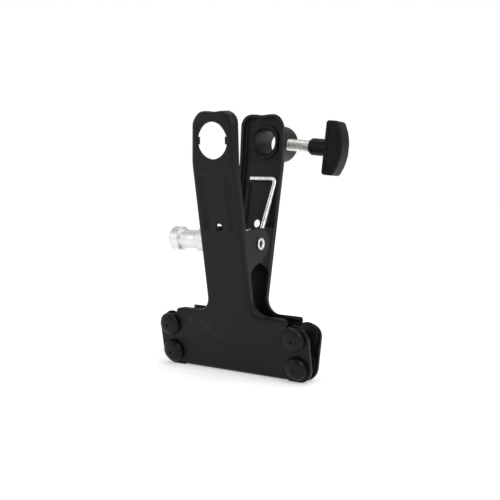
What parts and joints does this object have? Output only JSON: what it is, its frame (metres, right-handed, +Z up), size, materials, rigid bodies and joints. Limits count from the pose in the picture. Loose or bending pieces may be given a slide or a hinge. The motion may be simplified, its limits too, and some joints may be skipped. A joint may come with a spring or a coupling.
{
  "type": "spring clamp",
  "caption": "Stamped steel spring clamp with rubber jaw pads, a side stud on its pivot, and a screw-locked socket on the rear handle",
  "frame": {"origin": "middle of the stud's flat free end, on the pivot axis", "axes": "+X from the stud's free end along the pivot, +Z up from the jaws to the handles, +Y from the front half to the rear half that carries the socket"},
  "size_m": [0.116, 0.0881, 0.1699],
  "materials": {
    "black_powder_coat": "satin black powder coat",
    "black_rubber": "smooth moulded rubber",
    "black_plastic": "satin moulded plastic",
    "charcoal_casting": "black coated die casting",
    "bare_aluminium": "turned, bright",
    "bright_zinc": "bright zinc plate",
    "brass_tip": "turned brass"
  },
  "bodies": {
    "front_half": {"front_half": "black_powder_coat", "front_pad_upper_left": "black_rubber", "front_pad_upper_right": "black_rubber", "front_pad_lower_left": "black_rubber", "front_pad_lower_right": "black_rubber", "stud": "bare_aluminium", "stud_washer": "bright_zinc", "pivot_pin": "bright_zinc", "spring_sleeve": "bright_zinc", "torsion_spring": "bright_zinc"},
    "rear_half": {"rear_half": "black_powder_coat", "rear_pad_upper_left": "black_rubber", "rear_pad_upper_right": "black_rubber", "rear_pad_lower_left": "black_rubber", "rear_pad_lower_right": "black_rubber", "socket": "charcoal_casting", "socket_ring": "charcoal_casting"},
    "pressure_tip": {"screw_tip": "brass_tip"},
    "clamp_knob": {"clamp_screw": "bright_zinc", "knob": "black_plastic"}
  },
  "joints": [
    {"name": "jaw_hinge", "type": "hinge", "parent": "front_half", "child": "rear_half", "pos_m": [0.0526, 0, 0], "axis": [1, 0, 0], "range_deg": [0, 34], "stiffness_Nm_per_rad": 6, "springref_deg": -28.65, "deforming": ["torsion_spring"]},
    {"name": "knob_travel", "type": "slide", "parent": "rear_half", "child": "pressure_tip", "axis": [-0.9976, 0.0043, 0.0696], "range_m": [-0.0015, 0.008]},
    {"name": "knob_turn", "type": "hinge", "parent": "pressure_tip", "child": "clamp_knob", "pos_m": [0.0526, 0.04269, 0.06487], "axis": [-0.9976, 0.0043, 0.0696], "range_deg": [-433, 2305]}
  ],
  "couplings": [
    {"joint": "knob_turn", "follows": "knob_travel", "rad_per_m": 5026.5}
  ]
}
